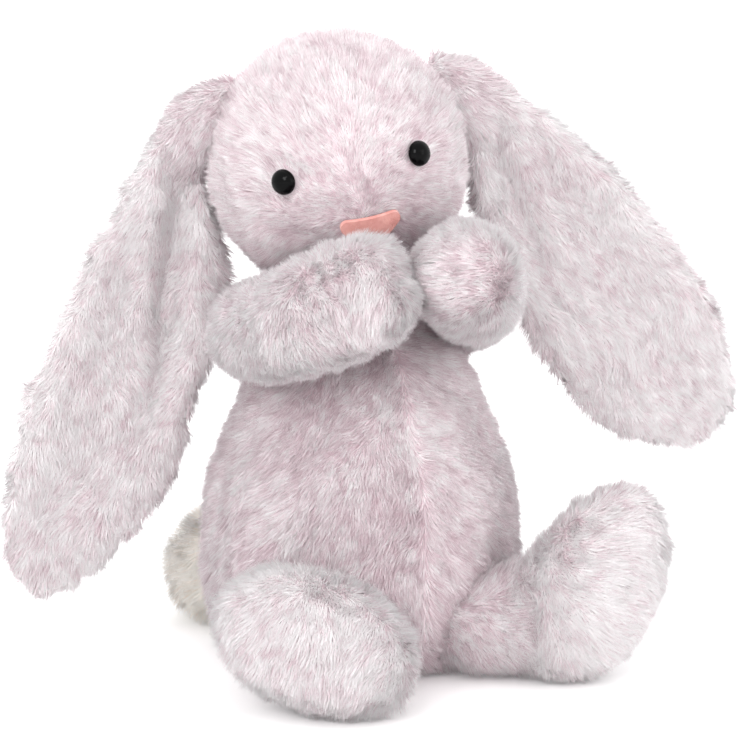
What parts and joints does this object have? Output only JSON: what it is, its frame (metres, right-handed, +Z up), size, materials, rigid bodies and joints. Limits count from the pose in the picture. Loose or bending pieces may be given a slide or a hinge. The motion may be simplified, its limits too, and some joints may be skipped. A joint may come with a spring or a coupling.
{
  "type": "plush rabbit",
  "caption": "Plush rabbit sitting upright, with long drooping ears, forepaws held together in front of the chest, broad feet turned forward and a round tail.",
  "frame": {"origin": "middle of the flat seat that the rabbit rests on", "axes": "+Z up, -Y towards the rabbit's front, +X towards the rabbit's own left side"},
  "size_m": [0.2483, 0.1682, 0.2025],
  "materials": {
    "lilac_plush": "matte",
    "cream_plush": "matte",
    "polyester_fibre": "matte",
    "plastic_pellets": "matte",
    "eye_plastic": "polished",
    "washer_plastic": "matte",
    "nose_cloth": "matte"
  },
  "bodies": {
    "torso": {"torso_front_left": "lilac_plush", "torso_front_right": "lilac_plush", "torso_back_left": "lilac_plush", "torso_back_right": "lilac_plush", "torso_base": "lilac_plush", "torso_stuffing": "polyester_fibre", "bean_pouch": "plastic_pellets", "tail_cover": "cream_plush", "tail_stuffing": "polyester_fibre"},
    "head": {"head_left_panel": "lilac_plush", "head_right_panel": "lilac_plush", "head_gusset": "lilac_plush", "head_stuffing": "polyester_fibre", "eye_left": "eye_plastic", "eye_right": "eye_plastic", "eye_washer_left": "washer_plastic", "eye_washer_right": "washer_plastic", "nose": "nose_cloth"},
    "ear_left": {"ear_left_front": "lilac_plush", "ear_left_back": "lilac_plush", "ear_left_wadding": "polyester_fibre"},
    "arm_left": {"arm_left_upper": "lilac_plush", "arm_left_lower": "lilac_plush", "arm_left_stuffing": "polyester_fibre"},
    "leg_left": {"leg_left_upper": "lilac_plush", "leg_left_lower": "lilac_plush", "leg_left_sole": "lilac_plush", "leg_left_stuffing": "polyester_fibre", "leg_left_beans": "plastic_pellets"},
    "ear_right": {"ear_right_front": "lilac_plush", "ear_right_back": "lilac_plush", "ear_right_wadding": "polyester_fibre"},
    "arm_right": {"arm_right_upper": "lilac_plush", "arm_right_lower": "lilac_plush", "arm_right_stuffing": "polyester_fibre"},
    "leg_right": {"leg_right_upper": "lilac_plush", "leg_right_lower": "lilac_plush", "leg_right_sole": "lilac_plush", "leg_right_stuffing": "polyester_fibre", "leg_right_beans": "plastic_pellets"}
  },
  "joints": [
    {"name": "neck_nod", "type": "hinge", "parent": "torso", "child": "head", "pos_m": [0, 0, 0.12], "axis": [-0.9511, 0.309, 0], "range_deg": [0, 14]},
    {"name": "ear_left_lift", "type": "hinge", "parent": "head", "child": "ear_left", "pos_m": [0.03199, -0.01017, 0.187], "axis": [-0.309, -0.9511, 0], "range_deg": [0, 90]},
    {"name": "ear_right_lift", "type": "hinge", "parent": "head", "child": "ear_right", "pos_m": [-0.04885, 0.0161, 0.18], "axis": [0.309, 0.9511, 0], "range_deg": [0, 110]},
    {"name": "shoulder_left_fold", "type": "hinge", "parent": "torso", "child": "arm_left", "pos_m": [0.035, 0.002, 0.113], "axis": [0.7448, -0.2001, 0.6365], "range_deg": [0, 48]},
    {"name": "shoulder_right_fold", "type": "hinge", "parent": "torso", "child": "arm_right", "pos_m": [-0.036, 0.008, 0.112], "axis": [0.8502, 0.1036, -0.5162], "range_deg": [0, 48]},
    {"name": "hip_left_lift", "type": "hinge", "parent": "torso", "child": "leg_left", "pos_m": [0.01994, -0.04566, 0.012], "axis": [-0.829, -0.5592, 0], "range_deg": [0, 12]},
    {"name": "hip_right_lift", "type": "hinge", "parent": "torso", "child": "leg_right", "pos_m": [-0.01994, -0.04566, 0.012], "axis": [-0.829, 0.5592, 0], "range_deg": [0, 18]}
  ]
}
